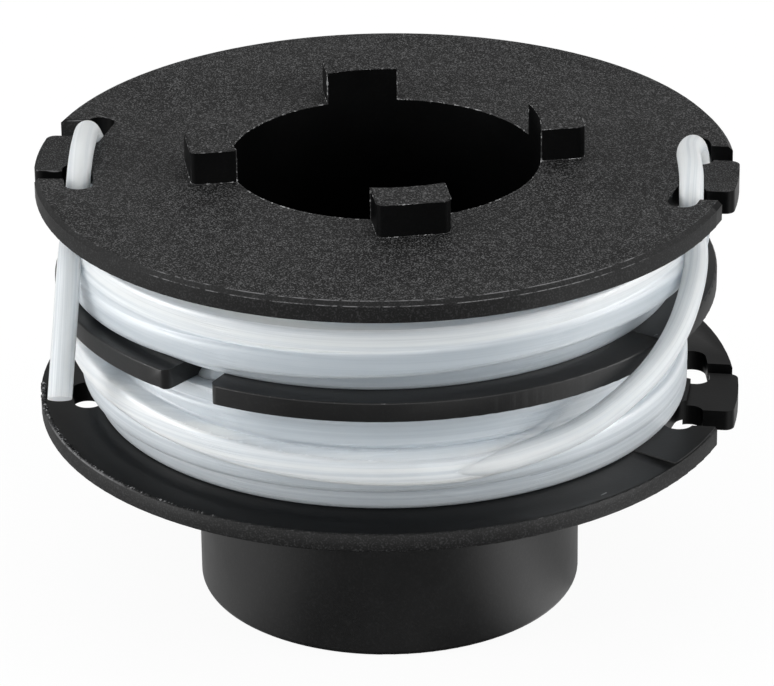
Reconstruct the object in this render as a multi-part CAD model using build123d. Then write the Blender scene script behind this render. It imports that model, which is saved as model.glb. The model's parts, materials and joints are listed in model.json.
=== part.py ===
import os
from math import cos, radians, sin, sqrt, tan

from build123d import *

# Trimmer line spool: one plastic moulding with two winding channels, and the nylon line wound on it.
# Millimetres, +Z up along the spool's axis, origin at the centre of the knob's flat underside.

# Line
line_diameter = 2.0
seat_clearance = 0.05          # between the wound line and what it lies on
eye_play = 0.45                # room for the line in an eye, across

# Hollow drum and knob
bore_radius = 13.0
drum_wall = 2.65
knob_wall = 3.2
knob_height = 16.65
knob_floor = 2.2
knob_edge_round = 0.6

# Flanges and the channels between them
lower_flange_radius = 29.3
lower_flange_thickness = 1.6
lower_channel = 9.0
divider_radius = 27.65
divider_thickness = 1.7
upper_channel = 7.45
top_flange_radius = 29.0
top_flange_thickness = 1.8
top_rim_bevel = 0.35           # bevel of the top flange's upper rim edge
rim_round = 0.15               # other rim edges

# Drive lugs on the top flange
lug_count = 4
lug_angle = 8.2
lug_width = 6.0
lug_depth = 3.4                # bore to the lug's flat outer face
lug_height = 2.8
lug_corner = 0.7

# Line eyes in the top and lower flanges: a right and a left pair, each with a tab between its rim throats
eye_pair_angles = (-8.7, 175.4)
eye_half_spread = 10.8         # degrees from the pair's centre line to each eye
eye_radii = (26.0, 25.4)       # axis to the eyes' centre lines
top_eye_lengths = (5.2, 6.2)
lower_eye_lengths = (5.6, 5.6)
# across each pair's centre line: first wall of the throats, the tab's two sides, last wall
top_notches = ((-5.7, -3.2, 3.4, 5.7), (-7.3, -4.3, 3.4, 5.7))
lower_notches = ((-6.8, -2.9, 4.4, 5.3), (-5.7, -3.4, 3.4, 5.7))
tab_prouds = (0.35, 0.0)       # beyond the flange rim
tab_drop = 0.3                 # below the flange's upper face
tab_sink = 0.45                # below its underside
tab_root = 0.3                 # into the flange, from the throats' inner wall
tab_corner = 0.8

# Slot in the divider for the fold of the line, between two radial sides
slot_side_angles = (-129.6, -120.7)
slot_corner_round = 0.7

# Step left by the split of the mould's side cores
split_angle = -37.0
lower_split_step = 0.15
divider_split_step = 0.08

# Wound line: radius of each row's outer edge, from the bottom row up
upper_row_radii = (25.5, 25.7, 25.4)
upper_row_pitch = 1.6
lower_row_radii = (25.0, 23.9, 23.9, 24.4, 23.8)
upper_turn_radius = 23.45      # centre line of the upper coil's last turn, its top row
upper_turn_end = 140.0         # degrees, where the upper line leaves the coil
upper_turn_arc = 325.0
lower_turn_end = -78.0
lower_turn_arc = 100.0
lower_turn_height = 4.1        # above the lower flange, at its end
lower_turn_tilt = 6.3          # degrees, its plane falls towards its end
turn_bed = 1.0                 # height of the packed line that carries a last turn
end_lead = (2.6, 3.2)          # straight run of the upper and the lower line end as it leaves the coil

# Routes of the two line ends after that straight run, to the cut end
upper_end_route = [
    (-22.2, 10.5, 35.36),
    (-24.05, 8.1, 35.36),
    (-24.6, 6.1, 37.8),
    (-24.8, 3.9, 39.45),
    (-24.9, 1.8, 39.45),
    (-25.0, -0.4, 39.4),
    (-25.2, -2.1, 38.2),
    (-25.35, -4.7, 35.6),
    (-25.8, -9.0, 33.95),
    (-25.95, -11.9, 30.7),
    (-26.2, -14.7, 27.7),
    (-26.42, -17.4, 24.8),
]
lower_end_route = [
    (12.2, -23.6, 22.9),
    (15.6, -22.95, 24.2),
    (18.6, -22.1, 26.2),
    (21.3, -19.9, 27.95),
    (23.4, -17.1, 30.0),
    (24.7, -13.6, 32.1),
    (25.25, -10.5, 33.8),
    (24.9, -9.0, 35.4),
    (24.85, -8.4, 37.5),
    (24.95, -7.2, 39.2),
    (24.95, -5.0, 39.45),
    (24.95, -2.4, 39.4),
    (25.6, -0.4, 39.2),
    (26.05, 0.75, 37.4),
    (26.15, 0.95, 34.8),
]

# Sizes that follow, and heights of the faces from the knob's underside up
line_radius = line_diameter / 2
eye_width = line_diameter + eye_play
slot_angle = sum(slot_side_angles) / 2
drum_radius = bore_radius + drum_wall
knob_radius = bore_radius + knob_wall
lower_flange_top = knob_height + lower_flange_thickness
divider_bottom = lower_flange_top + lower_channel
divider_top = divider_bottom + divider_thickness
top_flange_bottom = divider_top + upper_channel
top_flange_top = top_flange_bottom + top_flange_thickness
past = 1.0                     # how far a cutter runs past the face it cuts


def turned(profile, arc=360.0):
    """Revolve a profile drawn as (radius, height) about the spool's axis."""
    return revolve(Plane.XZ * profile, Axis.Z, revolution_arc=arc)


def ring_section(inner, outer, low, high):
    return Pos((inner + outer) / 2, (low + high) / 2) * Rectangle(outer - inner, high - low)


def flange(radius, low, high, upper_bevel=0.0):
    """A disc from the drum's bore to the rim, with eased rim edges."""
    section = ring_section(bore_radius, radius, low, high)
    lower_edge, upper_edge = section.vertices().group_by(Axis.X)[-1].sort_by(Axis.Y)
    ease = min(rim_round, (high - low) / 4)
    if upper_bevel:
        section = fillet(lower_edge, ease)
        upper_edge = section.vertices().group_by(Axis.Y)[-1].sort_by(Axis.X)[-1]
        section = chamfer(upper_edge, upper_bevel)
    else:
        section = fillet([lower_edge, upper_edge], ease)
    return turned(section)


def drum_and_knob():
    """Tube from the knob's floor to the top flange, closed below by the knob's floor."""
    meeting = knob_height + lower_flange_thickness / 2
    knob = ring_section(0, knob_radius, 0, meeting)
    knob_edge = knob.vertices().group_by(Axis.Y)[0].sort_by(Axis.X)[-1]
    knob = fillet(knob_edge, knob_edge_round) - ring_section(0, bore_radius, knob_floor, meeting)
    return turned(knob) + turned(ring_section(bore_radius, drum_radius, meeting, top_flange_top))


def lugs():
    reach = bore_radius + lug_depth
    block = Pos(reach / 2, 0) * Rectangle(reach, lug_width)
    block = fillet(block.vertices().group_by(Axis.X)[-1], lug_corner)
    outline = block - Circle(bore_radius)
    lug = Pos(0, 0, top_flange_top) * extrude(outline, lug_height)
    return [Rot(0, 0, lug_angle + 360 / lug_count * i) * lug for i in range(lug_count)]


def raised_half(radius, face, step):
    """Half of a flange face, left higher by the split of the side cores."""
    half = Pos(0, radius) * Rectangle(2 * radius, 2 * radius)
    sheet = (Circle(radius) - Circle(drum_radius - drum_wall / 2)) & half
    return Pos(0, 0, face) * Rot(0, 0, split_angle) * extrude(sheet, step)


def eye_outlines(radius, length):
    """A pair's two eyes, drawn about the pair's centre line along +X."""
    eye = Pos(radius, 0) * Rot(0, 0, 90) * SlotOverall(length, eye_width)
    return [Rot(0, 0, side * eye_half_spread) * eye for side in (-1, 1)]


def strip(root, reach, low_side, high_side):
    """Rectangle along +X between two radii and two sides."""
    return Pos((root + reach) / 2, (low_side + high_side) / 2) * Rectangle(reach - root, high_side - low_side)


def tab_outline(rim, proud, root, sides):
    """The tab between the throats, with its outer corners rounded and its root in the flange."""
    tab = strip(root, rim + past, *sides) & Circle(rim + proud)
    corners = tab.vertices().sort_by(Axis.X)[-2:]
    return fillet(corners, tab_corner)


def with_line_eyes(body, rim, low, high, eye_lengths, notches):
    """Cut both pairs of eyes and throats into a flange and leave the tabs between them."""
    pairs = zip(eye_pair_angles, eye_radii, eye_lengths, notches, tab_prouds)
    for angle, radius, length, (first, side, other_side, last), proud in pairs:
        turn = Rot(0, 0, angle)
        throat_root = radius * cos(radians(eye_half_spread))
        notch = extrude(strip(throat_root, rim + past, first, last), high - low + 2 * past)
        outline = tab_outline(rim, proud, throat_root - tab_root, (side, other_side))
        tab = extrude(outline, high - low - tab_drop + tab_sink)
        body = body - turn * Pos(0, 0, low - past) * notch + turn * Pos(0, 0, low - tab_sink) * tab
        for eye in eye_outlines(radius, length):
            body -= turn * Pos(0, 0, low - past) * extrude(eye, high - low + 2 * past)
    return body


def divider_slot():
    """Wedge from the axis to past the rim, with rounded corners left at the rim."""
    sides = [Vector(1, 0, 0).rotate(Axis.Z, angle) for angle in slot_side_angles]
    wedge = make_face(Polyline((0, 0), *[side * 2 * divider_radius for side in sides], close=True))
    sheet = Circle(divider_radius) - wedge
    corners = [sheet.vertices().sort_by_distance(side * divider_radius)[0] for side in sides]
    cut = Circle(divider_radius + past) - fillet(corners, slot_corner_round)
    return Pos(0, 0, divider_bottom - past) * extrude(cut, divider_thickness + divider_split_step + 2 * past)


def spool_body():
    lower = flange(lower_flange_radius, knob_height, lower_flange_top)
    lower += raised_half(lower_flange_radius - rim_round, lower_flange_top, lower_split_step)
    lower = with_line_eyes(
        lower, lower_flange_radius, knob_height, lower_flange_top, lower_eye_lengths, lower_notches)
    divider = flange(divider_radius, divider_bottom, divider_top)
    divider += raised_half(divider_radius - rim_round, divider_top, divider_split_step)
    divider -= divider_slot()
    top = flange(top_flange_radius, top_flange_bottom, top_flange_top, top_rim_bevel)
    top = with_line_eyes(
        top, top_flange_radius, top_flange_bottom, top_flange_top, top_eye_lengths, top_notches)
    return drum_and_knob() + lower + divider + top + lugs()


def coil(radii, heights, pitch):
    """Full turns side by side: the rows' round outer edges on a filled core."""
    inner = drum_radius + seat_clearance
    section = Sketch()
    for radius, height in zip(radii, heights):
        centre = radius - line_radius
        section += ring_section(inner, centre, height - pitch / 2, height + pitch / 2)
        section += Pos(centre, height) * Circle(line_radius)
    return turned(section)


def upper_rows():
    """Heights of the upper coil's rows, with the last turn under the top flange as the top row."""
    first = divider_top + divider_split_step + seat_clearance + line_radius
    rows = [first + upper_row_pitch * i for i in range(len(upper_row_radii))]
    return rows + [top_flange_bottom - seat_clearance - line_radius]


def lower_rows():
    """Heights of the lower coil's rows, evenly stacked between the flange and the divider."""
    first = lower_flange_top + lower_split_step + seat_clearance + line_radius
    last = divider_bottom - seat_clearance - line_radius
    gaps = len(lower_row_radii) - 1
    return [first + (last - first) * i / gaps for i in range(gaps + 1)]


def resting_radius(height, radii, heights):
    """Radius at which a turn's centre line just lies clear on the rows that it touches."""
    reaches = []
    for radius, row in zip(radii, heights):
        lift = sqrt(max(line_diameter ** 2 - (height - row) ** 2, 0))
        reaches.append(radius - line_radius + lift)
    return max(reaches) + seat_clearance


def last_turn(reach, height, end, arc, tilt=0.0):
    """A turn of line on a thin bed of packed line; its tilted plane is lowest at the turn's end."""
    plane_reach = reach / cos(radians(tilt))
    section = ring_section(drum_radius + line_diameter, plane_reach, -turn_bed / 2, turn_bed / 2)
    section += Pos(plane_reach, 0) * Circle(line_radius)
    ring = Rot(0, 0, -arc) * turned(section, arc)
    centre_height = height + reach * tan(radians(tilt))
    return Pos(0, 0, centre_height) * Rot(0, 0, end) * Rot(0, tilt, 0) * ring


def upper_coil():
    """Full turns, and the last turn above them."""
    heights = upper_rows()
    rows = coil(upper_row_radii, heights[:-1], upper_row_pitch)
    core = ring_section(drum_radius + seat_clearance, upper_turn_radius - line_radius,
                        heights[-2], heights[-1] + line_radius)
    return rows + turned(core) + last_turn(upper_turn_radius, heights[-1], upper_turn_end, upper_turn_arc)


def lower_turn_place():
    """Radius and height at which the lower coil's last turn ends, resting on the rows."""
    height = lower_flange_top + lower_turn_height
    return resting_radius(height, lower_row_radii, lower_rows()), height


def lower_coil():
    heights = lower_rows()
    rows = coil(lower_row_radii, heights, heights[1] - heights[0])
    return rows + last_turn(*lower_turn_place(), lower_turn_end, lower_turn_arc, lower_turn_tilt)


def wound_line():
    """Both coils and the fold of the line that joins them in the divider slot."""
    low = lower_rows()[-1]
    high = upper_rows()[0]
    fold_radius = drum_radius + seat_clearance + line_radius
    fold = Pos(fold_radius, 0, (low + high) / 2) * Cylinder(line_radius, high - low)
    return upper_coil() + lower_coil() + Rot(0, 0, slot_angle) * fold


def end_points(reach, height, angle, lead, route):
    """Route of a line end: from the last turn's end face, straight on, then by the chosen points."""
    start = Vector(reach * cos(radians(angle)), reach * sin(radians(angle)), height)
    onward = Vector(-sin(radians(angle)), cos(radians(angle)), 0)
    return [start, start + onward * lead] + [Vector(*point) for point in route]


def bend_radii(points):
    """Bend at each inner point: 0.45 of the shorter run over the tangent of half the turn."""
    radii = []
    for before, point, after in zip(points, points[1:], points[2:]):
        arriving = point - before
        leaving = after - point
        half_turn = radians(arriving.get_angle(leaving)) / 2
        radii.append(0.45 * min(arriving.length, leaving.length) / tan(half_turn))
    return radii


def line_end(name, points):
    radii = bend_radii(points)
    print(name, "bend radii:", [round(radius, 1) for radius in radii])
    path = FilletPolyline(*points, radius=radii)
    section = Plane(origin=points[0], z_dir=points[1] - points[0]) * Circle(line_radius)
    tube = sweep(section, path=path)
    print(name, "length %.2f, volume over section times length %.4f"
          % (path.length, tube.volume / (section.area * path.length)))
    return tube


def build():
    upper_points = end_points(upper_turn_radius, upper_rows()[-1], upper_turn_end, end_lead[0], upper_end_route)
    lower_points = end_points(*lower_turn_place(), lower_turn_end, end_lead[1], lower_end_route)
    return {
        "spool_body": spool_body(),
        "wound_line": wound_line(),
        "upper_line_end": line_end("upper_line_end", upper_points),
        "lower_line_end": line_end("lower_line_end", lower_points),
    }


os.makedirs("parts", exist_ok=True)
for node, solid in build().items():
    export_step(solid, "parts/" + node + ".step")
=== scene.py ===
import json
import math

import bmesh
import bpy
import numpy as np
from mathutils import Matrix, Vector

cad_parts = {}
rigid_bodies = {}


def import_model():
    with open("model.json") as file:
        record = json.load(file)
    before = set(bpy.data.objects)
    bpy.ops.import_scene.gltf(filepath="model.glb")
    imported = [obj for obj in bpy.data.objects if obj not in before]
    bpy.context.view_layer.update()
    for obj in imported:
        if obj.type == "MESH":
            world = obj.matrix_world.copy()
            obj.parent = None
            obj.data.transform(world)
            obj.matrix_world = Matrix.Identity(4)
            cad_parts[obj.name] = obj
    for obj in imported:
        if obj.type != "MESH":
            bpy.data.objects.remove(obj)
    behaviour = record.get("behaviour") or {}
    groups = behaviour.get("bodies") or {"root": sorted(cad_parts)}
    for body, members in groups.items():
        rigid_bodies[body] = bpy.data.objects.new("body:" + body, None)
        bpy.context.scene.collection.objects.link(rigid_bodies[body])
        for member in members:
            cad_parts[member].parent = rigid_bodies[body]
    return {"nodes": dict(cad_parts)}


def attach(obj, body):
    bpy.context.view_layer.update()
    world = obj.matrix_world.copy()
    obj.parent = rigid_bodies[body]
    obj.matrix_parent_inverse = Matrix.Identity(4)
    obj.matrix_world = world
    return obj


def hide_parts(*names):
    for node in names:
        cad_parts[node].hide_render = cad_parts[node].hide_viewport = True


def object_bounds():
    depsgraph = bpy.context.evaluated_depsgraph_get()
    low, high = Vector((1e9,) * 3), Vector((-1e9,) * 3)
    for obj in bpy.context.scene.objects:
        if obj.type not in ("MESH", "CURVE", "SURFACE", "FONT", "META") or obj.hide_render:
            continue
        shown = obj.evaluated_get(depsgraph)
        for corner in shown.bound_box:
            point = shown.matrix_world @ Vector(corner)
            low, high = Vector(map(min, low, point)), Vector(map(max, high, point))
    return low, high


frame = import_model()
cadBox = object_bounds()
print("frame loaded:", sorted(frame["nodes"]))

mm = 0.001

cameraSet = {
    "aim": (0.0, 0.0, 38.2),       # centre of the top flange's face, mm
    "distance": 374.0,             # mm
    "elevation": 22.6177,          # degrees above the horizon
    "dropAim": 2.3511,             # degrees that the view drops below the aim point
    "roll": 0.7613,                # degrees, the right side of the picture lifted
    "lens": 209.88,                # mm, with the sensor's width below
    "sensor": 36.0,
    "clip": (0.01, 20.0),          # metres
}


def makeCamera(c):
    el = math.radians(c["elevation"])
    dip = el + math.radians(c["dropAim"])
    roll = math.radians(c["roll"])
    forward = Vector((0, math.cos(dip), -math.sin(dip)))
    up = Vector((0, math.sin(dip), math.cos(dip)))
    right = Vector((1, 0, 0))
    sideways = right * math.cos(roll) - up * math.sin(roll)
    upward = up * math.cos(roll) + right * math.sin(roll)
    place = Vector(c["aim"]) + Vector((0, -math.cos(el), math.sin(el))) * c["distance"]
    data = bpy.data.cameras.new("photoCamera")
    data.sensor_fit = "HORIZONTAL"
    data.sensor_width = c["sensor"]
    data.lens = c["lens"]
    data.clip_start, data.clip_end = c["clip"]
    camera = bpy.data.objects.new("photoCamera", data)
    bpy.context.scene.collection.objects.link(camera)
    axes = Matrix((sideways, upward, -forward)).transposed().to_4x4()
    camera.matrix_world = Matrix.Translation(place * mm) @ axes
    bpy.context.scene.camera = camera


makeCamera(cameraSet)
print("camera set")


def gridQuads(rows, cols, ring=False):
    # quads of a grid that is closed across its columns, and for a ring across its rows as well;
    # vertex (i, j) is number i * cols + j
    i, j = np.meshgrid(np.arange(rows if ring else rows - 1), np.arange(cols), indexing="ij")
    k, m = (j + 1) % cols, (i + 1) % rows
    return np.stack([i * cols + j, i * cols + k, m * cols + k, m * cols + j], -1).reshape(-1, 4)


def cornerMap(u, v):
    # UV places of a grid's quads, four corners each, in the order of gridQuads
    i, j = np.meshgrid(np.arange(len(u) - 1), np.arange(len(v) - 1), indexing="ij")
    corners = [(u[i], v[j]), (u[i], v[j + 1]), (u[i + 1], v[j + 1]), (u[i + 1], v[j])]
    return np.stack([np.stack(corner, -1) for corner in corners], -2).reshape(-1, 2)


def readArray(items, key, width=1, kind=float):
    # one value or vector of every vertex, edge, face or corner of a mesh
    values = np.empty(len(items) * width, kind)
    items.foreach_get(key, values)
    return values.reshape(-1, width) if width > 1 else values


def shadeSmooth(mesh, sharpAngle):
    mesh.polygons.foreach_set("use_smooth", np.ones(len(mesh.polygons), bool))
    mesh.set_sharp_from_angle(angle=math.radians(sharpAngle))


def joinMeshes(mesh, extra):
    # adds the extra mesh's faces after the first one's
    work = bmesh.new()
    work.from_mesh(mesh)
    work.from_mesh(extra)
    work.to_mesh(mesh)
    work.free()
    bpy.data.meshes.remove(extra)


def newObject(name, mesh, materials):
    piece = bpy.data.objects.new(name, mesh)
    bpy.context.scene.collection.objects.link(piece)
    for material in materials:
        mesh.materials.append(material)
    return piece


def newMaterial(name):
    material = bpy.data.materials.new(name)
    material.use_nodes = True
    return material, material.node_tree, material.node_tree.nodes["Principled BSDF"]


def feed(tree, node, key, value):
    # links another node's socket to an input, or sets a plain value; None leaves the input as it is
    if isinstance(value, bpy.types.NodeSocket):
        tree.links.new(value, node.inputs[key])
    elif value is not None:
        node.inputs[key].default_value = value


def socketBox(tree, kind, x, y, **values):
    node = tree.nodes.new(kind)
    node.location = (x, y)
    for key, value in values.items():
        if key in node.inputs:
            node.inputs[key].default_value = value
        else:
            setattr(node, key, value)
    return node


def groupOf(name, inputs, outputs):
    # an empty node group with its sockets; inputs map a name to its kind and starting value
    group = bpy.data.node_groups.new(name, "ShaderNodeTree")
    for key, (kind, value) in inputs.items():
        socket = group.interface.new_socket(key, in_out="INPUT", socket_type="NodeSocket" + kind)
        socket.default_value = value
    for key in outputs:
        group.interface.new_socket(key, in_out="OUTPUT", socket_type="NodeSocketFloat")
    return group, socketBox(group, "NodeGroupInput", -1000, 0), socketBox(group, "NodeGroupOutput", 900, 0)


def ramp(tree, x, y, source, low, high, toLow=0.0, toHigh=1.0):
    # straight change from one value range to another, held at its ends
    node = socketBox(tree, "ShaderNodeMapRange", x, y)
    for key, value in (("From Min", low), ("From Max", high), ("To Min", toLow), ("To Max", toHigh)):
        feed(tree, node, key, value)
    tree.links.new(source, node.inputs["Value"])
    return node.outputs["Result"]


def maths(tree, x, y, operation, first, second=None):
    node = socketBox(tree, "ShaderNodeMath", x, y, operation=operation)
    for key, value in enumerate((first, second)):
        feed(tree, node, key, value)
    return node.outputs[0]


def vectors(tree, x, y, operation, first, second=None, scale=None):
    node = socketBox(tree, "ShaderNodeVectorMath", x, y, operation=operation)
    for key, value in ((0, first), (1, second), ("Scale", scale)):
        feed(tree, node, key, value)
    return node.outputs["Value" if operation in ("LENGTH", "DOT_PRODUCT") else "Vector"]


def noise(tree, x, y, where, scale, detail=2.0, roughness=0.6):
    node = socketBox(tree, "ShaderNodeTexNoise", x, y, Detail=detail, Roughness=roughness)
    tree.links.new(where, node.inputs["Vector"])
    feed(tree, node, "Scale", scale)
    return node.outputs["Fac"]


def blend(tree, x, y, share, first, second):
    # the first colour, turning into the second as the share goes from 0 to 1
    node = socketBox(tree, "ShaderNodeMix", x, y, data_type="RGBA")
    tree.links.new(share, node.inputs["Factor"])
    feed(tree, node, "A", first)
    feed(tree, node, "B", second)
    return node.outputs["Result"]


grainSet = {
    "coarse": 1500.0, "cloud": 110.0,      # noise scales, per metre; each finish has its own fine one
    "shares": (0.86, 0.14),                # of the fine and the coarse noise
    "fleckEdge": (0.52, 0.62),             # noise values between which a fleck comes up
    "cloudEdge": (0.3, 0.7),
}


def makeFineGrain():
    # spark-eroded mould grain: noise of three sizes on Object coordinates
    group, enter, leave = groupOf("fineGrain", {"Size": ("Float", 5000.0)}, ("Height", "Fleck", "Cloud"))
    where = socketBox(group, "ShaderNodeTexCoord", -1000, -250).outputs["Object"]
    fine = noise(group, -700, 200, where, enter.outputs["Size"])
    coarse = noise(group, -700, -50, where, grainSet["coarse"])
    cloud = noise(group, -700, -300, where, grainSet["cloud"], 4.0)
    fineShare, coarseShare = grainSet["shares"]
    mixed = maths(group, -450, 100, "ADD", maths(group, -600, 300, "MULTIPLY", fine, fineShare),
                  maths(group, -600, 100, "MULTIPLY", coarse, coarseShare))
    group.links.new(mixed, leave.inputs["Height"])
    group.links.new(ramp(group, -200, 100, mixed, *grainSet["fleckEdge"]), leave.inputs["Fleck"])
    group.links.new(ramp(group, -200, -300, cloud, *grainSet["cloudEdge"]), leave.inputs["Cloud"])
    return group


ringSet = {
    "full": 0.4,                           # share of the reach within which the flash is full
    "arcFade": 0.04, "brokenFade": 0.12,   # how softly the arc ends, and each gap in it
    "ragged": (900.0, 4.0, 0.75),          # noise scale, detail and roughness
}


def makeRingEdge():
    # ragged flash along a circular edge, drawn light grey as partly a painted edge highlight: near the
    # circle's radius and height, on the side that faces Toward
    group, enter, leave = groupOf("ringEdge", {
        "Radius": ("Float", 0.029), "Height": ("Float", 0.038), "Reach": ("Float", 0.0001),
        "Toward": ("Vector", (0.0, -1.0, 0.0)), "Spread": ("Float", 0.3),
        "Broken": ("Float", 0.5)}, ("Mask",))
    where = socketBox(group, "ShaderNodeTexCoord", -1000, -250).outputs["Object"]
    level = vectors(group, -800, -100, "MULTIPLY", where, (1.0, 1.0, 0.0))
    height = vectors(group, -800, -300, "DOT_PRODUCT", where, (0.0, 0.0, 1.0))
    off = socketBox(group, "ShaderNodeCombineXYZ", -400, -100)
    group.links.new(maths(group, -600, -50, "SUBTRACT", vectors(group, -700, 0, "LENGTH", level),
                          enter.outputs["Radius"]), off.inputs["X"])
    group.links.new(maths(group, -600, -250, "SUBTRACT", height, enter.outputs["Height"]), off.inputs["Y"])
    near = ramp(group, -100, -100, vectors(group, -250, -100, "LENGTH", off.outputs["Vector"]),
                maths(group, -250, -300, "MULTIPLY", enter.outputs["Reach"], ringSet["full"]),
                enter.outputs["Reach"], 1.0, 0.0)
    side = vectors(group, -400, 300, "DOT_PRODUCT", vectors(group, -600, 300, "NORMALIZE", level),
                   enter.outputs["Toward"])
    faced = ramp(group, -100, 300, side, enter.outputs["Spread"],
                 maths(group, -250, 450, "ADD", enter.outputs["Spread"], ringSet["arcFade"]))
    ragged = ramp(group, 100, 100, noise(group, -300, 100, where, *ringSet["ragged"]),
                  enter.outputs["Broken"],
                  maths(group, -100, 100, "ADD", enter.outputs["Broken"], ringSet["brokenFade"]))
    mask = maths(group, 500, 0, "MULTIPLY", maths(group, 300, 0, "MULTIPLY", near, faced), ragged)
    group.links.new(mask, leave.inputs["Mask"])
    return group


strokeSet = {"wobble": 2500.0, "full": 0.7, "gone": 1.2}   # noise scale; widths at which it is full and gone


def makeStroke():
    # a short line from Start to End: fades with the distance to the segment, and a noise of up to the width
    # is added to that distance, so its sides are ragged
    group, enter, leave = groupOf("stroke", {
        "Start": ("Vector", (0.0, 0.0, 0.0)), "End": ("Vector", (0.0, 0.0, 0.001)),
        "Width": ("Float", 0.0001)}, ("Mask",))
    where = socketBox(group, "ShaderNodeTexCoord", -1000, -250).outputs["Object"]
    reach = vectors(group, -800, 0, "SUBTRACT", where, enter.outputs["Start"])
    run = vectors(group, -800, 200, "SUBTRACT", enter.outputs["End"], enter.outputs["Start"])
    share = maths(group, -400, 100, "DIVIDE", vectors(group, -600, 0, "DOT_PRODUCT", reach, run),
                  vectors(group, -600, 200, "DOT_PRODUCT", run, run))
    held = ramp(group, -250, 100, share, 0.0, 1.0)
    foot = vectors(group, -100, 200, "SCALE", run, scale=held)
    gap = vectors(group, 200, 0, "LENGTH", vectors(group, 50, 0, "SUBTRACT", reach, foot))
    wobble = maths(group, 200, -200, "MULTIPLY", noise(group, 0, -300, where, strokeSet["wobble"]),
                   enter.outputs["Width"])
    mask = ramp(group, 600, 0, maths(group, 400, 0, "ADD", gap, wobble),
                maths(group, 400, -200, "MULTIPLY", enter.outputs["Width"], strokeSet["full"]),
                maths(group, 400, -350, "MULTIPLY", enter.outputs["Width"], strokeSet["gone"]), 1.0, 0.0)
    group.links.new(mask, leave.inputs["Mask"])
    return group


marksSet = {
    "lines": (70.0, 2.0, 0.7),             # noise scale, detail and roughness
    "lineEdge": (0.52, 0.62),              # noise values between which a mark comes up
    "full": 0.7,                           # share of the half height within which the marks are full
    "arcFade": 0.02,                       # how softly the arc ends
}


def makeToolMarks():
    # upright cutter marks on a rim: a noise read along the angle only, on the side that faces Toward
    group, enter, leave = groupOf("toolMarks", {
        "Height": ("Float", 0.028), "Tall": ("Float", 0.001), "Toward": ("Vector", (0.0, -1.0, 0.0)),
        "Spread": ("Float", 0.9)}, ("Mask",))
    where = socketBox(group, "ShaderNodeTexCoord", -1000, -250).outputs["Object"]
    level = vectors(group, -900, 0, "MULTIPLY", where, (1.0, 1.0, 0.0))
    level = vectors(group, -800, 0, "NORMALIZE", level)
    lines = ramp(group, -200, 100, noise(group, -500, 100, level, *marksSet["lines"]), *marksSet["lineEdge"])
    height = vectors(group, -800, -300, "DOT_PRODUCT", where, (0.0, 0.0, 1.0))
    off = maths(group, -600, -300, "SUBTRACT", height, enter.outputs["Height"])
    off = maths(group, -400, -300, "ABSOLUTE", off)
    tall = ramp(group, -100, -300, off,
                maths(group, -250, -400, "MULTIPLY", enter.outputs["Tall"], marksSet["full"]),
                enter.outputs["Tall"], 1.0, 0.0)
    side = vectors(group, -400, 300, "DOT_PRODUCT", level, enter.outputs["Toward"])
    faced = ramp(group, -100, 300, side, enter.outputs["Spread"],
                 maths(group, -250, 450, "ADD", enter.outputs["Spread"], marksSet["arcFade"]))
    mask = maths(group, 500, 0, "MULTIPLY", maths(group, 300, 0, "MULTIPLY", lines, faced), tall)
    group.links.new(mask, leave.inputs["Mask"])
    return group


fineGrain, ringEdge, strokeMask, toolMarks = makeFineGrain(), makeRingEdge(), makeStroke(), makeToolMarks()
bumpDepth = 0.00006                # metres, of the grain on plastic and line alike


def towards(angle):
    # level direction of an angle in degrees
    return (math.cos(math.radians(angle)), math.sin(math.radians(angle)), 0.0)


plasticLooks = {
    # dark and fleck colours, share of fleck, roughness from and to, specular level, bump strength, grain size
    "grainBlack": {"dark": (0.002, 0.002, 0.0021, 1), "fleck": (0.125, 0.1255, 0.127, 1), "share": 1.0,
                   "roughness": (0.55, 0.7), "shine": 0.26, "bump": 0.6, "size": 7600.0},
    "satinBlack": {"dark": (0.006, 0.0061, 0.0063, 1), "fleck": (0.014, 0.0141, 0.0146, 1), "share": 0.4,
                   "roughness": (0.38, 0.5), "shine": 0.5, "bump": 0.12, "size": 4200.0},
    # its darker base is partly painted shade, for the bore, lugs, eye walls and upward faces below the top
    # flange; its lower roughness is the finish
    "smoothAndShadedBlack": {"dark": (0.001, 0.0011, 0.0012, 1), "fleck": (0.003, 0.0031, 0.0033, 1), "share": 0.4,
                    "roughness": (0.3, 0.4), "shine": 0.15, "bump": 0.08, "size": 4200.0},
    "rimBlack": {"dark": (0.004, 0.0041, 0.0042, 1), "fleck": (0.028, 0.0282, 0.029, 1), "share": 0.8,
                 "roughness": (0.5, 0.65), "shine": 0.33, "bump": 0.3, "size": 6800.0},
    # burr and flash on the edges: its light fleck is partly a painted edge highlight
    "burrWithPaintedHighlight": {"dark": (0.02, 0.0201, 0.0205, 1), "fleck": (0.36, 0.361, 0.365, 1), "share": 1.0,
                  "roughness": (0.45, 0.6), "shine": 0.4, "bump": 0.5, "size": 2600.0},
}

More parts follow.
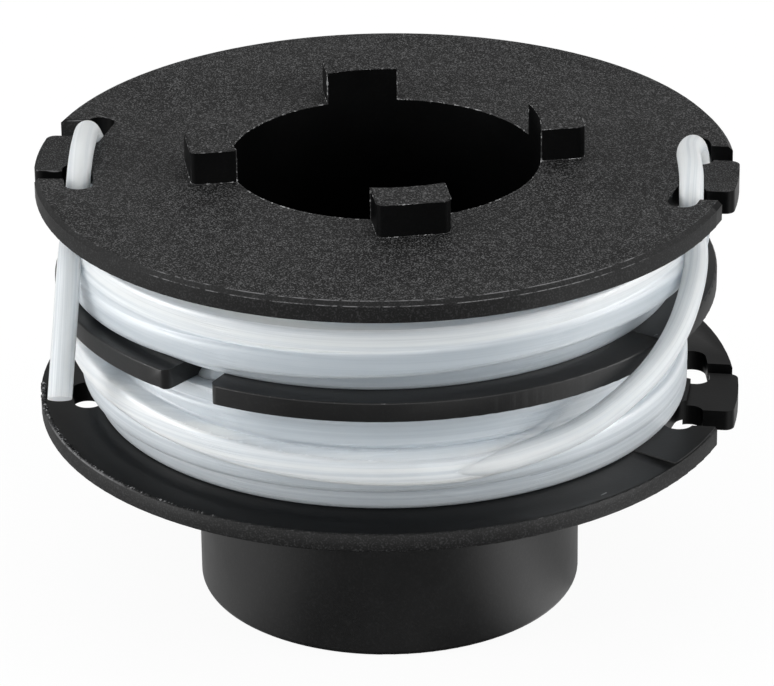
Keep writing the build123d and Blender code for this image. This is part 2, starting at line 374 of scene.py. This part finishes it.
flashAndHighlightSet = {
    # flash and marks of the moulding, millimetres; their light grey is partly a painted edge highlight
    "colour": (0.15, 0.15, 0.153, 1),
    "rings": [
        # radius, height, reach, angle that it faces, cosine of its half arc, how broken
        (28.66, 38.2, 0.07, -88.0, 0.72, 0.43),
        (29.0, 37.85, 0.06, -88.0, 0.72, 0.45),
        (28.66, 38.2, 0.08, -150.0, 0.55, 0.56),
        (29.3, 18.22, 0.17, -150.0, 0.955, 0.36),
        (29.3, 18.25, 0.1, -110.0, 0.6, 0.56),
        (27.65, 28.9, 0.07, -100.0, 0.2, 0.55),
    ],
    "strokes": [
        # start, end, half width
        ((-28.85, -0.9, 37.85), (-27.0, -1.25, 37.9), 0.12),
        ((-26.9, 9.55, 38.0), (-25.2, 9.3, 38.1), 0.1),
        ((-24.35, 10.3, 38.2), (-22.9, 9.2, 38.2), 0.12),
        ((17.0, -22.9, 18.25), (17.4, -22.5, 18.25), 0.12),
        ((21.5, -15.95, 29.03), (21.75, -15.7, 29.03), 0.12),
        ((-17.5, -21.05, 28.85), (-17.5, -21.05, 27.35), 0.07),
    ],
    "cutterMarks": [
        # height, half height, angle that it faces, cosine of its half arc
        (28.1, 0.75, -64.5, 0.975),
        (28.1, 0.7, -138.5, 0.995),
    ],
    "cutterShare": 0.05,           # how much of the flash colour the cutter marks show
}


def addMask(tree, group, x, y, values):
    node = socketBox(tree, "ShaderNodeGroup", x, y)
    node.node_tree = group
    for key, value in values.items():
        node.inputs[key].default_value = value
    return node.outputs["Mask"]


def addStroke(tree, x, y, start, end, width):
    return addMask(tree, strokeMask, x, y, {
        "Start": tuple(v * mm for v in start), "End": tuple(v * mm for v in end), "Width": width * mm})


def strongestOf(tree, x, y, masks):
    # the greatest of several masks
    strongest = masks[0]
    for k, mask in enumerate(masks[1:]):
        strongest = maths(tree, x, y - 120 * k, "MAXIMUM", strongest, mask)
    return strongest


def flashAndHighlightMask(tree):
    # the strongest of all the flash and mark masks, which also carry painted edge highlights
    masks = []
    for k, (radius, height, reach, angle, spread, broken) in enumerate(flashAndHighlightSet["rings"]):
        masks.append(addMask(tree, ringEdge, -1500, 1400 - 220 * k, {
            "Radius": radius * mm, "Height": height * mm, "Reach": reach * mm,
            "Toward": towards(angle), "Spread": spread, "Broken": broken}))
    for k, facts in enumerate(flashAndHighlightSet["strokes"]):
        masks.append(addStroke(tree, -1750, 1400 - 220 * k, *facts))
    for k, (height, tall, angle, spread) in enumerate(flashAndHighlightSet["cutterMarks"]):
        mark = addMask(tree, toolMarks, -2000, 1400 - 220 * k, {
            "Height": height * mm, "Tall": tall * mm, "Toward": towards(angle), "Spread": spread})
        masks.append(maths(tree, -1850, 1400 - 220 * k, "MULTIPLY", mark, flashAndHighlightSet["cutterShare"]))
    return strongestOf(tree, -1200, 1400, masks)


def makePlastic(name, look):
    material, tree, surface = newMaterial(name)
    surface.inputs["Specular IOR Level"].default_value = look["shine"]
    grain = socketBox(tree, "ShaderNodeGroup", -1000, 0)
    grain.node_tree = fineGrain
    grain.inputs["Size"].default_value = look["size"]
    flashAndHighlight = flashAndHighlightMask(tree)
    share = maths(tree, -700, 250, "MULTIPLY", grain.outputs["Fleck"], look["share"])
    colour = blend(tree, -500, 250, share, look["dark"], look["fleck"])
    # flash and marks turn light grey, which is partly a painted edge highlight
    shown = blend(tree, -250, 250, flashAndHighlight, colour, flashAndHighlightSet["colour"])
    bump = socketBox(tree, "ShaderNodeBump", -300, -300, Strength=look["bump"], Distance=bumpDepth)
    link = tree.links.new
    link(maths(tree, -600, -300, "ADD", grain.outputs["Height"], flashAndHighlight), bump.inputs["Height"])
    link(shown, surface.inputs["Base Color"])
    link(ramp(tree, -500, 0, grain.outputs["Cloud"], 0.0, 1.0, *look["roughness"]),
         surface.inputs["Roughness"])
    link(bump.outputs["Normal"], surface.inputs["Normal"])
    return material


nylonLook = {
    "milky": (0.88, 0.925, 0.96, 1),
    "clear": (0.36, 0.42, 0.47, 1),
    "darkStrokeColour": (0.2, 0.21, 0.23, 1),
    "roughness": (0.42, 0.54),
    "roughEdge": (0.3, 0.7),       # values of the draw lines' noise between which the roughness changes
    "clearness": 0.3,              # share of the light that goes through
    "glow": 0.002,                 # metres that light spreads inside the line
    "refraction": 1.53,
    "streaks": (14.0, 13.0, 1.0),  # how close the draw lines are, along and around
    "streakNoise": (1.0, 6.0, 0.68),   # noise scale, detail and roughness
    "streakEdge": (0.4, 0.6),      # noise values between which a draw line comes up
    "streakMilk": (0.6, 1.0),      # share of milkiness in a draw line, from and to
    "bump": 0.35,
    # thin dark strokes on the line at given places
    "darkStrokes": [
        # start, end, half width
        ((-24.6, -10.6, 32.1), (-23.3, -13.3, 31.6), 0.09),
        ((-23.3, -11.3, 30.0), (-23.2, -11.4, 29.95), 0.1),
    ],
    "darkStrokeShare": 0.7,
}


def makeNylon(look):
    # milky nylon: faint draw lines run along the line, from a noise stretched along the UV map
    material, tree, surface = newMaterial("milkyNylon")
    surface.inputs["IOR"].default_value = look["refraction"]
    surface.inputs["Subsurface Weight"].default_value = 1.0
    surface.inputs["Subsurface Radius"].default_value = (1.0, 1.0, 1.0)
    surface.inputs["Subsurface Scale"].default_value = look["glow"]
    surface.inputs["Transmission Weight"].default_value = look["clearness"]
    where = socketBox(tree, "ShaderNodeUVMap", -1300, 0, uv_map="alongAround")
    spread = socketBox(tree, "ShaderNodeMapping", -1100, 0, Scale=look["streaks"])
    streak = noise(tree, -900, 0, spread.outputs["Vector"], *look["streakNoise"])
    # the per-point milkiness is painted light and shade, set per turn and per piece; only the draw lines
    # below are the line's own
    tone = socketBox(tree, "ShaderNodeAttribute", -1100, 350, attribute_name="paintedLightMilkiness").outputs["Fac"]
    drawn = ramp(tree, -800, 200, streak, *look["streakEdge"], *look["streakMilk"])
    paintedLightMilk = maths(tree, -600, 350, "MULTIPLY", tone, drawn)
    colour = blend(tree, -500, 250, paintedLightMilk, look["clear"], look["milky"])
    masks = [addStroke(tree, -1300, 700 - 220 * k, *facts) for k, facts in enumerate(look["darkStrokes"])]
    darkStroke = strongestOf(tree, -1000, 600, masks)
    darkStroke = maths(tree, -700, 500, "MULTIPLY", darkStroke, look["darkStrokeShare"])
    marked = blend(tree, -250, 250, darkStroke, colour, look["darkStrokeColour"])
    bump = socketBox(tree, "ShaderNodeBump", -400, -350, Strength=look["bump"], Distance=bumpDepth)
    link = tree.links.new
    link(where.outputs["UV"], spread.inputs["Vector"])
    link(streak, bump.inputs["Height"])
    link(marked, surface.inputs["Base Color"])
    link(ramp(tree, -500, -100, streak, *look["roughEdge"], *look["roughness"]), surface.inputs["Roughness"])
    link(bump.outputs["Normal"], surface.inputs["Normal"])
    return material


bodyLooks = [makePlastic(name, look) for name, look in plasticLooks.items()]
milkyNylon = makeNylon(nylonLook)
print("materials made")


lineSet = {
    "radius": 1.0, "sides": 24,
    "spacing": 0.25,               # between the rings of a tube, mm
    "curveSteps": 24,              # points that the route's curve gives for each of its own
    "cutTurn": 0.6,                # direction in which a cut end slopes, radians round the line
    "sharpAngle": 50.0,            # degrees, edges that are shaded crisp
    # how milky the line ends look, raised as painted light
    "endPaintedLight": 1.15,
}

upperEnd = {
    "route": [
        (-17.9637, 15.0735, 35.35), (-19.635, 13.0818, 35.35),
        (-22.2, 10.5, 35.36), (-24.05, 8.1, 35.36), (-24.6, 6.1, 37.8), (-24.8, 3.9, 39.45),
        (-24.9, 1.8, 39.45), (-25.0, -0.4, 39.4), (-25.2, -2.1, 38.2), (-25.35, -4.7, 35.6),
        (-25.75, -9.0, 33.85), (-25.95, -11.9, 30.7), (-26.2, -14.7, 27.7), (-26.42, -17.4, 24.8),
    ],
    "cut": 0.12, "lay": "hanging",
}
lowerEnd = {
    "route": [
        (2.4838, -26.082, 22.37), (3.979, -25.939, 22.36), (8.577, -24.961, 22.35),
        (12.2, -23.6, 22.9), (15.6, -22.95, 24.2), (18.6, -22.1, 26.2), (21.3, -19.9, 27.95),
        (23.4, -17.1, 30.0), (24.7, -13.6, 32.1), (25.25, -10.5, 33.8), (24.9, -9.0, 35.4),
        (24.85, -8.4, 37.5), (24.95, -7.2, 39.2), (24.95, -5.0, 39.45), (24.95, -2.4, 39.4),
        (25.6, -0.4, 39.2), (26.05, 0.75, 37.4), (26.15, 0.95, 34.8),
    ],
    "cut": -0.2, "lay": "loose",
}


def lengthAlong(path):
    # length from the path's start to each of its points
    return np.concatenate([[0.0], np.cumsum(np.linalg.norm(np.diff(path, axis=0), axis=1))])


def lineMesh(name, points, faces, uv, tones):
    # a surface of line, millimetres, with its UV map and how milky each point looks, a share that paints
    # light and shade per turn and per piece
    mesh = bpy.data.meshes.new(name)
    mesh.from_pydata((points * mm).tolist(), [], faces)
    mesh.uv_layers.new(name="alongAround").data.foreach_set("uv", uv.astype(np.float32).reshape(-1))
    tone = mesh.attributes.new("paintedLightMilkiness", "FLOAT", "POINT")
    tone.data.foreach_set("value", tones.astype(np.float32))
    return mesh


def tubeMesh(name, path, paintedLightMilkiness, cut=(0.0, 0.0), begin=0.0):
    # a circle carried along a path: point + radius * (cos a * outward + sin a * across), where outward is the
    # direction from the spool's axis, squared up to the path's own direction; a fan closes each end, and
    # the UV map holds metres along and turns around
    radius, sides, rows = lineSet["radius"], lineSet["sides"], len(path)
    step = np.gradient(path, axis=0)
    along = step / np.linalg.norm(step, axis=1, keepdims=True)
    out = path * np.array([1.0, 1.0, 0.0])
    out = out - along * (out * along).sum(1, keepdims=True)
    out = out / np.linalg.norm(out, axis=1, keepdims=True)
    across = np.cross(along, out)
    a = np.arange(sides) / sides * 2 * np.pi
    ring = out[:, None] * np.cos(a)[None, :, None] + across[:, None] * np.sin(a)[None, :, None]
    grid = path[:, None] + radius * ring
    for end, slope in zip((0, -1), cut):
        grid[end] += along[end] * (slope * radius * np.cos(a + lineSet["cutTurn"]))[:, None]
    points = np.concatenate([grid.reshape(-1, 3), grid[[0, -1]].mean(1)])
    j, whole = np.arange(sides), rows * sides
    k = (j + 1) % sides
    fans = np.concatenate([np.stack([np.full(sides, whole), k, j], -1),
                           np.stack([np.full(sides, whole + 1), whole - sides + j, whole - sides + k], -1)])
    u = (lengthAlong(path) + begin) * mm
    uv = np.concatenate([cornerMap(u, np.arange(sides + 1) / sides), np.tile([u[-1], 0.5], (fans.size, 1))])
    faces = gridQuads(rows, sides).tolist() + fans.tolist()
    mesh = lineMesh(name, points, faces, uv, np.full(len(points), paintedLightMilkiness))
    shadeSmooth(mesh, lineSet["sharpAngle"])
    return mesh


def smoothRoute(route):
    # points of a quadratic NURBS with the route's points as its control points, then spaced evenly along it
    data = bpy.data.curves.new("route", "CURVE")
    data.dimensions = "3D"
    data.resolution_u = lineSet["curveSteps"]
    spline = data.splines.new("NURBS")
    spline.points.add(len(route) - 1)
    spline.points.foreach_set("co", np.column_stack([route, np.ones(len(route))]).reshape(-1))
    spline.order_u = 3
    spline.use_endpoint_u = True
    holder = bpy.data.objects.new("route", data)
    bpy.context.scene.collection.objects.link(holder)
    bpy.context.view_layer.update()
    mesh = bpy.data.meshes.new_from_object(holder)
    points = readArray(mesh.vertices, "co", 3)
    bpy.data.objects.remove(holder)
    bpy.data.curves.remove(data)
    bpy.data.meshes.remove(mesh)
    run = lengthAlong(points)
    at = np.linspace(0, run[-1], int(run[-1] / lineSet["spacing"]))
    return np.column_stack([np.interp(at, run, points[:, k]) for k in range(3)])


def makeLineEnd(name, node, end, begin=0.0):
    path = smoothRoute(np.array(end["route"]))
    mesh = tubeMesh(name, path, lineSet["endPaintedLight"], (0.0, end["cut"]), begin)
    piece = newObject(name, mesh, [milkyNylon])
    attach(piece, "root")
    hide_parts(node)


coilSet = {
    # each turn: centre line's radius and height, each as mean, part with the cosine, part with the sine;
    # then how milky it looks, which paints light and shade: lower on turns that lie recessed or in shade,
    # higher on the upper coil's top turns against the upper flange's shadow
    "upper": {"low": 28.97, "high": 36.35, "turns": [
        ((23.9, -0.4, -0.5), (29.98, 0.0, 0.0), 0.25),
        ((25.9, 0.1, 0.1), (31.3, 1.2, -0.4), 0.38),
        ((25.1, -0.6, 0.0), (31.9, 0.1, 0.0), 0.8),
        ((25.5, 0.0, -0.2), (33.65, 0.3, 0.05), 1.1),
        ((24.0, 0.0, 0.0), (35.35, 0.0, 0.0), 1.1),
    ]},
    "lower": {"low": 18.27, "high": 27.22, "turns": [
        ((24.0, 0.3, 0.0), (19.3, 0.0, 0.0), 0.58),
        ((24.5, -0.2, -0.2), (21.1, 0.0, 0.0), 0.7),
        ((24.1, -0.3, -0.1), (22.9, 0.0, 0.0), 0.52),
        ((24.4, -0.2, -0.1), (24.9, 0.0, 0.0), 0.44),
        ((24.2, 0.0, -0.1), (26.4, 0.0, 0.0), 0.5),
    ]},
    "inner": 15.8,                 # radius of the winding's inside, on the drum
    "flatness": 1.15,              # half width of a turn's squared-off top
    "squareness": 4,               # power in that top's curve; 2 would be round
    "steepness": 4.0,              # how fast a turn falls away past its sides
    "blend": 7.0,                  # per millimetre; a lower value fills the grooves between turns more
    "around": 300, "across": 90,   # points round the spool and over the height of a coil
    "mapRadius": 25.0,             # radius at which the UV map measures length along the turns
    # the last lower turn, in degrees and millimetres, up to where the lower line end goes on
    "last": {
        "end": -78.0, "arc": 102.0, "wrap": 250.0,
        # how milky it looks is painted light: this outermost turn is kept bright
        "radius": 26.2, "height": 22.35, "fall": 2.95, "paintedLightMilkiness": 1.12,
        "sinks": [(-180.0, -56.0, 2.0), (-80.0, 34.0, 2.6)],   # from, over, how deep into the coil
        "climb": ((-78.0, -71.0, -62.7, -55.8, -49.9), (0.0, 0.05, 0.6, 1.85, 3.85)),
        "seam": 3.0,               # length over which the lower line end covers it
    },
    # the strand from coil to coil through the divider's slot, in degrees and millimetres
    "strand": {
        "angles": (-108.0, -142.0), "points": 60, "radius": 23.0, "high": 30.2,
        # how milky it looks is painted shade: the strand in the slot is kept dark
        "drop": 4.8, "dropFrom": -112.0, "dropOver": 26.0, "paintedLightMilkiness": 0.35,
    },
}


def easeStep(t):
    t = np.clip(t, 0.0, 1.0)
    return t * t * (3 - 2 * t)


def lastTurn(a, facts):
    # its centre line for angles in degrees: it falls from under the divider to the front, its height growing
    # with one minus the cosine of the angle back from its end; its radius eases in and out of the coil
    a = (a + facts["wrap"]) % 360.0 - facts["wrap"]
    back = np.clip(facts["end"] - a, 0.0, facts["arc"])
    r = facts["radius"]
    for start, over, deep in facts["sinks"]:
        r = r - deep * easeStep((a - start) / over)
    climb = np.interp(a, *facts["climb"])
    return r, facts["height"] + climb + facts["fall"] * (1 - np.cos(np.radians(back)))


def lastTurnLength(facts):
    # length on the coil's map up to where the lower line end starts
    return math.radians(360.0 + facts["end"]) * coilSet["mapRadius"] - facts["seam"]


def turnTop(centre, height, z):
    # outside of one turn: a rounded square bump over its centre line, falling away steeply past its sides
    off, power = np.abs(z - height) / coilSet["flatness"], coilSet["squareness"]
    bump = np.maximum(1 - off ** power, 0.0) ** (1 / power)
    return centre + bump - coilSet["steepness"] * np.maximum(off - 1, 0.0)


def coilBand(facts, last=None):
    # outside radius over angle and height: the smooth maximum of all the turns, log of the sum of
    # exponentials; two more columns at the drum close it to a ring
    turns, k = facts["turns"], coilSet["blend"]
    degrees = np.arange(coilSet["around"]) / coilSet["around"] * 360.0
    a = np.radians(degrees)
    z = np.linspace(facts["low"], facts["high"], coilSet["across"])
    wave = np.stack([np.ones_like(a), np.cos(a), np.sin(a)])
    tops = [turnTop((np.array(r) @ wave)[:, None], (np.array(h) @ wave)[:, None], z) for r, h, _ in turns]
    paintedLightMilk = [m for _, _, m in turns]
    if last:
        centre, height = lastTurn(degrees, last)
        tops.append(turnTop(centre[:, None], height[:, None], z))
        paintedLightMilk.append(last["paintedLightMilkiness"])
    tops = np.stack(tops)
    share = np.exp(k * (tops - tops.max(0)))
    outside = tops.max(0) + np.log(share.sum(0)) / k
    # each point's painted light and shade: the turns' milkiness, blended as the surface is
    tone = np.tensordot(np.array(paintedLightMilk), share / share.sum(0), 1)
    inner = np.full((len(a), 1), coilSet["inner"])
    r = np.concatenate([outside, inner, inner], 1)
    tall = np.concatenate([z, [facts["high"], facts["low"]]])
    tone = np.concatenate([tone, tone[:, -1:], tone[:, :1]], 1)
    points = np.stack([r * np.cos(a)[:, None], r * np.sin(a)[:, None], np.broadcast_to(tall, r.shape)], -1)
    along = np.append(a, 2 * np.pi) * coilSet["mapRadius"] * mm
    uv = cornerMap(along, np.append(tall, tall[0]) / (2 * np.pi))
    return points.reshape(-1, 3), gridQuads(*r.shape, ring=True), uv, tone.reshape(-1)


def crossingPath(facts):
    # on a cylinder: the angle runs evenly, and the height eases from the upper coil to the lower
    a = np.linspace(*facts["angles"], facts["points"])
    z = facts["high"] - facts["drop"] * easeStep((facts["dropFrom"] - a) / facts["dropOver"])
    a = np.radians(a)
    return np.column_stack([facts["radius"] * np.cos(a), facts["radius"] * np.sin(a), z])


def makeWoundLine():
    # both coils as one band each, with the strand that crosses between them
    bands = [coilBand(coilSet["upper"]), coilBand(coilSet["lower"], coilSet["last"])]
    points, quads, uv, tones = [np.concatenate(parts) for parts in zip(*bands)]
    quads[len(bands[0][1]):] += len(bands[0][0])
    mesh = lineMesh("woundLine", points, quads.tolist(), uv, tones)
    strand = coilSet["strand"]
    joinMeshes(mesh, tubeMesh("crossingStrand", crossingPath(strand), strand["paintedLightMilkiness"]))
    shadeSmooth(mesh, lineSet["sharpAngle"])
    piece = newObject("woundLine", mesh, [milkyNylon])
    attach(piece, "root")
    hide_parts("wound_line")
    print("wound line:", len(mesh.polygons), "faces")


makeWoundLine()
makeLineEnd("upperLineEnd", "upper_line_end", upperEnd)
makeLineEnd("lowerLineEnd", "lower_line_end", lowerEnd, lastTurnLength(coilSet["last"]))


bodySet = {
    "merge": 0.000002,             # metres; points nearer than this are one
    "flatAngle": 0.6,              # degrees; faces that turn less than this are joined up
    "sharpAngle": 28.0,            # degrees, edges that are shaded crisp
    "top": (37.5, 38.25),          # heights of the top flange's face, from and to; the lugs are above
    "upward": 0.9,                 # least rise of a face's normal that counts as facing up
    "boreEdge": 13.1,              # radius inside which a wall is the bore's
    "rimFrom": 24.0,               # radius outside which a wall is a flange's rim
    "divider": (28.1, 2.0),        # the divider's height, and how far either side of it counts
    "eyePairs": (-8.7, 175.4),     # directions of the two pairs of line eyes, degrees
    # degrees either side of a pair for its tab and throats, and for its eyes; then the eyes' outer radius
    "eyeSides": (13.0, 18.0, 28.5),
    "steep": 40.0,                 # degrees between an edge's faces from which it has a burr
    "burrPlace": (38.15, 18.0),    # least height and greatest radius of the edges with a burr
    "burr": (0.03, 0.085),         # least and greatest half thickness of the burr on crisp edges, mm
    "burrStep": 0.22,              # length of one bit of burr, mm
    "burrSides": 6,
    "burrSeed": 7,
    "rimFlash": [
        # ragged flash on the lower flange's upper edge: angles from and to, greatest half thickness
        (-179.0, -150.0, 0.26), (-150.0, -118.0, 0.17), (-118.0, -70.0, 0.08),
    ],
    "rimFlashRing": (29.1, 18.17),  # its radius and height, mm
    "rimFlashStep": 0.45,          # degrees
    "rimFlashLeast": 0.015,        # least half thickness, mm
}


def sharpEdges(mesh):
    # ends of the edges whose two faces meet at a steep angle, on the lugs and round the bore's mouth
    place = readArray(mesh.vertices, "co", 3) / mm
    ends = readArray(mesh.edges, "vertices", 2, int)
    lean = readArray(mesh.polygons, "normal", 3)
    sides = readArray(mesh.polygons, "loop_total", kind=int)
    order = np.argsort(readArray(mesh.loops, "edge_index", kind=int), kind="stable")
    faces = np.repeat(np.arange(len(sides)), sides)[order].reshape(-1, 2)
    steep = (lean[faces[:, 0]] * lean[faces[:, 1]]).sum(1) < math.cos(math.radians(bodySet["steep"]))
    first, last = place[ends[:, 0]], place[ends[:, 1]]
    least, farthest = bodySet["burrPlace"]
    high = np.minimum(first[:, 2], last[:, 2]) > least
    near = np.maximum(np.hypot(first[:, 0], first[:, 1]), np.hypot(last[:, 0], last[:, 1])) < farthest
    return first[steep & high & near], last[steep & high & near]


def raggedBits(first, last, least, greatest, chance):
    # each edge cut into short many-sided bits, whose half thickness is drawn at random; points, quads, caps
    run = last - first
    length = np.linalg.norm(run, axis=1)
    parts = np.maximum(np.ceil(length / bodySet["burrStep"]), 1).astype(int)
    which = np.repeat(np.arange(len(first)), parts)
    step = np.arange(len(which)) - np.repeat(np.cumsum(parts) - parts, parts)
    a = first[which] + run[which] * (step / parts[which])[:, None]
    b = first[which] + run[which] * ((step + 1) / parts[which])[:, None]
    thick = least + (greatest - least) * chance.random((len(which), 2)) ** 2
    along = (b - a) / np.linalg.norm(b - a, axis=1, keepdims=True)
    side = np.cross(along, [0.37, 0.61, 0.7])   # any direction that no edge runs along
    side /= np.linalg.norm(side, axis=1, keepdims=True)
    other = np.cross(along, side)
    n = bodySet["burrSides"]
    turn = np.arange(n) / n * 2 * np.pi
    ring = side[:, None] * np.cos(turn)[None, :, None] + other[:, None] * np.sin(turn)[None, :, None]
    points = np.stack([a[:, None] + ring * thick[:, :1, None], b[:, None] + ring * thick[:, 1:, None]], 1)
    base = np.arange(len(which))[:, None, None] * 2 * n
    j, k = np.arange(n), (np.arange(n) + 1) % n
    quads = (base + np.stack([j, k, k + n, j + n], -1)[None]).reshape(-1, 4)
    caps = (base + np.stack([j[::-1], j + n])[None]).reshape(-1, n)
    return points.reshape(-1, 3), quads, caps


def burrMesh(mesh):
    # burr along the crisp edges, and flash along the lower flange's edge, kept inside the solids' box
    chance = np.random.default_rng(bodySet["burrSeed"])
    sets = [raggedBits(*sharpEdges(mesh), *bodySet["burr"], chance)]
    r, z = bodySet["rimFlashRing"]
    for start, end, greatest in bodySet["rimFlash"]:
        a = np.radians(np.arange(start, end, bodySet["rimFlashStep"]))
        ring = np.column_stack([r * np.cos(a), r * np.sin(a), np.full(len(a), z)])
        sets.append(raggedBits(ring[:-1], ring[1:], bodySet["rimFlashLeast"], greatest, chance))
    points, faces, base = [], [], 0
    for some, quads, caps in sets:
        points.append(some)
        faces += (quads + base).tolist() + (caps + base).tolist()
        base += len(some)
    extra = bpy.data.meshes.new("burr")
    extra.from_pydata(np.clip(np.concatenate(points) * mm, *np.array(cadBox)).tolist(), [], faces)
    return extra


def bodyFinish(mesh, whole):
    # number of each face's finish, by its place and lean; the faces past the whole moulding are burr, whose
    # light flecks are partly a painted edge highlight
    lean = readArray(mesh.polygons, "normal", 3)
    middle = readArray(mesh.polygons, "center", 3) / mm
    height, reach = middle[:, 2], np.hypot(middle[:, 0], middle[:, 1])
    low, high = bodySet["top"]
    dividerHeight, dividerReach = bodySet["divider"]
    tabSide, eyeSide, eyeReach = bodySet["eyeSides"]
    up = lean[:, 2] > bodySet["upward"]
    lug = height > high
    top = up & (height > low) & (height < high)
    divider = np.abs(height - dividerHeight) < dividerReach
    rim = (reach > bodySet["rimFrom"]) & ~divider
    turn = np.degrees(np.arctan2(middle[:, 1], middle[:, 0]))[:, None] - bodySet["eyePairs"]
    beside = np.abs((turn + 180) % 360 - 180).min(1)
    eyeWall = rim & ~up & ((beside < tabSide) | ((beside < eyeSide) & (reach < eyeReach)))
    # the darker smooth finish goes on the bore, lugs, eye walls and upward faces off the divider, partly as
    # painted shade; the divider's top keeps the lighter satin as painted light under the top flange
    smoothAndShaded = lug | (reach < bodySet["boreEdge"]) | (up & ~divider) | eyeWall
    number = {name: k for k, name in enumerate(plasticLooks)}
    return np.select(
        [np.arange(len(lean)) >= whole, top | (lug & up), smoothAndShaded, rim],
        [number["burrWithPaintedHighlight"], number["grainBlack"], number["smoothAndShadedBlack"], number["rimBlack"]],
        number["satinBlack"])


def makeBody():
    # the moulding's own solid, merged, with its flat faces joined up, and the burr of its edges added
    mesh = frame["nodes"]["spool_body"].data.copy()
    mesh.name = "spoolBody"
    work = bmesh.new()
    work.from_mesh(mesh)
    bmesh.ops.remove_doubles(work, verts=work.verts, dist=bodySet["merge"])
    bmesh.ops.dissolve_limit(work, angle_limit=math.radians(bodySet["flatAngle"]),
                             verts=work.verts, edges=work.edges)
    work.to_mesh(mesh)
    work.free()
    whole = len(mesh.polygons)
    joinMeshes(mesh, burrMesh(mesh))
    mesh.materials.clear()
    piece = newObject("spoolBody", mesh, bodyLooks)
    mesh.polygons.foreach_set("material_index", bodyFinish(mesh, whole).astype(np.int32))
    shadeSmooth(mesh, bodySet["sharpAngle"])
    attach(piece, "root")
    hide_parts("spool_body")
    print("spool body:", whole, "faces and", len(mesh.polygons) - whole, "of burr")


makeBody()


stageSet = {
    "floorSize": 3.0,
    "white": 0.9,                  # share of plain white that the camera sees in the floor
    "glow": 1.03,                  # strength of that white
    "tone": 0.85,                  # the floor's own grey
    "roughness": 0.9,
    "paintedSideReflection": 0.55,            # the floor beside the spool as shiny surfaces see it, a glow that is a painted reflection
    "paintedFrontShade": 0.05,           # the floor in front of it as shiny surfaces see it, a darker glow that is a painted shadow in their reflection
    "frontEdge": (0.55, 0.88),     # cosines of the angle off straight ahead, where side turns into front
    "paintedHighlightAngle": -34.7,            # direction of a brighter patch of that glow, a painted highlight mirrored in the knob
    "paintedHighlightEdge": (0.93, 1.0),       # cosines of the angle from its middle, from its edge to its brightest
    "paintedHighlight": 2.6,                   # how many times brighter it is
    "worldLight": 0.45,
}


def makeFloor():
    s = stageSet["floorSize"]
    mesh = bpy.data.meshes.new("paleFloor")
    mesh.from_pydata([(-s, -s, 0), (s, -s, 0), (s, s, 0), (-s, s, 0)], [], [(0, 1, 2, 3)])
    material, tree, surface = newMaterial("paleFloor")
    surface.inputs["Base Color"].default_value = (*[stageSet["tone"]] * 3, 1)
    surface.inputs["Roughness"].default_value = stageSet["roughness"]
    where = socketBox(tree, "ShaderNodeTexCoord", -1100, 0).outputs["Object"]
    level = vectors(tree, -1000, -200, "NORMALIZE", where)
    ahead = vectors(tree, -850, -200, "DOT_PRODUCT", level, (0.0, -1.0, 0.0))
    ahead = ramp(tree, -500, -200, ahead, *stageSet["frontEdge"],
                 stageSet["paintedSideReflection"], stageSet["paintedFrontShade"])
    paintedHighlight = vectors(tree, -850, -400, "DOT_PRODUCT", level, towards(stageSet["paintedHighlightAngle"]))
    paintedHighlight = ramp(tree, -500, -400, paintedHighlight, *stageSet["paintedHighlightEdge"], 1.0, stageSet["paintedHighlight"])
    # shiny surfaces see the floor as a glow, which is painted reflection: darker in front as painted shade,
    # with a brighter patch as a painted highlight on the knob
    paintedReflection = socketBox(tree, "ShaderNodeEmission", -100, -200)
    white = socketBox(tree, "ShaderNodeEmission", -100, -400, Strength=stageSet["glow"])
    seen = socketBox(tree, "ShaderNodeLightPath", -500, 300)
    direct = maths(tree, -400, 300, "MAXIMUM", seen.outputs["Is Camera Ray"],
                   seen.outputs["Is Transmission Ray"])
    shiny = socketBox(tree, "ShaderNodeMixShader", 150, 0)
    mix = socketBox(tree, "ShaderNodeMixShader", 350, 100)
    link = tree.links.new
    link(maths(tree, -250, -300, "MULTIPLY", ahead, paintedHighlight), paintedReflection.inputs["Color"])
    link(seen.outputs["Is Glossy Ray"], shiny.inputs["Fac"])
    link(surface.outputs[0], shiny.inputs[1])
    link(paintedReflection.outputs[0], shiny.inputs[2])
    link(maths(tree, -250, 300, "MULTIPLY", direct, stageSet["white"]), mix.inputs["Fac"])
    link(shiny.outputs[0], mix.inputs[1])
    link(white.outputs[0], mix.inputs[2])
    link(mix.outputs[0], tree.nodes["Material Output"].inputs["Surface"])
    floor = newObject("paleFloor", mesh, [material])


lampSet = {
    # name: place, aim, size across and along (metres), watts
    "overhead": ((0.0, 0.3, 0.9), (0, 0, 0.03), (0.8, 0.6), 1.2),
    "leftSide": ((-0.85, -0.2, 0.28), (0, 0, 0.025), (0.5, 0.5), 5.5),
    "rightSide": ((0.85, -0.2, 0.28), (0, 0, 0.025), (0.5, 0.5), 4.8),
    "front": ((0.0, -1.1, 0.26), (0, 0, 0.025), (1.2, 0.25), 3.4),
}


def makeLamp(name, place, aim, size, watts):
    data = bpy.data.lights.new(name, "AREA")
    data.shape = "RECTANGLE"
    data.size, data.size_y = size
    data.energy = watts
    lamp = bpy.data.objects.new(name, data)
    bpy.context.scene.collection.objects.link(lamp)
    lamp.location = place
    lamp.rotation_euler = (Vector(aim) - Vector(place)).to_track_quat("-Z", "Y").to_euler()


def makeWorld():
    world = bpy.data.worlds.new("studio")
    world.use_nodes = True
    sky = world.node_tree.nodes["Background"]
    sky.inputs["Color"].default_value = (1, 1, 1, 1)
    sky.inputs["Strength"].default_value = stageSet["worldLight"]
    bpy.context.scene.world = world


makeFloor()
for lampName, lampFacts in lampSet.items():
    makeLamp(lampName, *lampFacts)
makeWorld()
bpy.context.scene.view_settings.view_transform = "Standard"
print("stage and light set")
